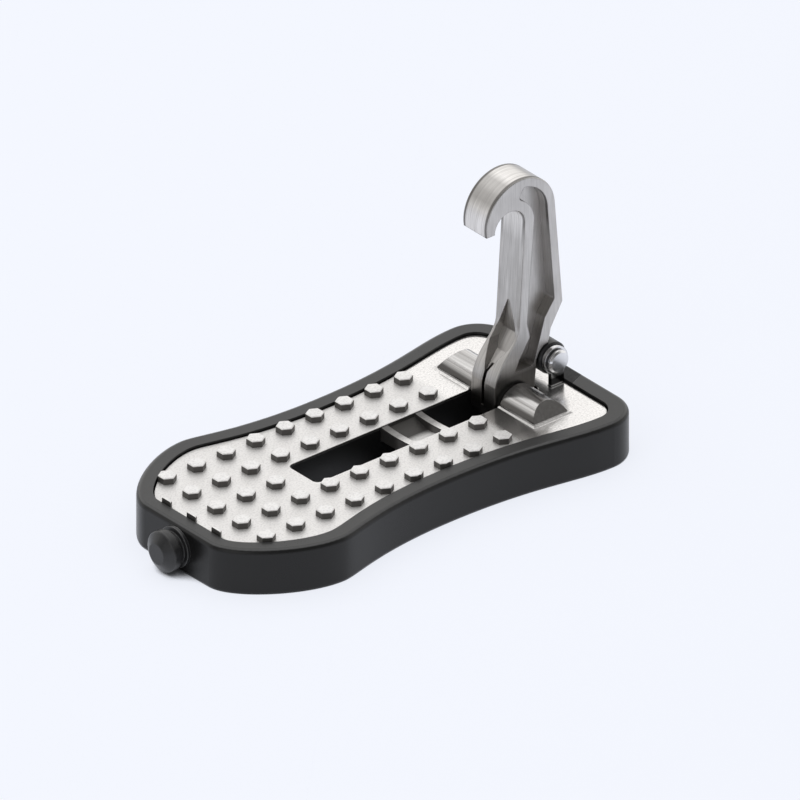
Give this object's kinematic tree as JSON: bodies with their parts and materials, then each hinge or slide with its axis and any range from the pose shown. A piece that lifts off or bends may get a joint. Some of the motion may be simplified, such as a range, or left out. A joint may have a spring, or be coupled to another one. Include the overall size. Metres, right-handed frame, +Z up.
{
  "type": "car door latch step",
  "caption": "Folding step that hooks onto a car's door striker: studded tread plate on a black board, with a hook that folds into a slot.",
  "frame": {"origin": "middle of the footprint, on the surface the board rests on", "axes": "+X along the board towards the hook end, +Y across the board, +Z up"},
  "size_m": [0.1598, 0.0768, 0.0887],
  "materials": {
    "board": "moulded black, satin",
    "plate": "fine cast grain, light",
    "hook_metal": "satin forging",
    "bright_steel": "polished",
    "steel": "zinc plated",
    "nylon": "plain grey",
    "black_nylon": "plain black",
    "cap_rubber": "moulded, slightly glossy",
    "rubber": "matt black"
  },
  "bodies": {
    "board": {"base_frame": "board", "tread_plate": "plate", "stop_bracket": "bright_steel", "hinge_axle": "steel", "axle_spacer_near": "nylon", "axle_spacer_far": "nylon", "stop_pin": "bright_steel", "pin_washer": "black_nylon", "pin_clip": "steel", "stop_sleeve": "black_nylon", "hammer_point": "steel", "hammer_cap": "cap_rubber", "end_buffer": "rubber", "plate_screw_1": "steel", "plate_screw_2": "steel", "plate_screw_3": "steel", "plate_screw_4": "steel", "plate_screw_5": "steel", "plate_screw_6": "steel", "bracket_screw_1": "steel", "bracket_screw_2": "steel"},
    "hook": {"hook": "hook_metal"}
  },
  "joints": [
    {"name": "hook_fold", "type": "hinge", "parent": "board", "child": "hook", "pos_m": [0.0556, 0, 0.0124], "axis": [0, -1, 0], "range_deg": [0, 90]}
  ]
}
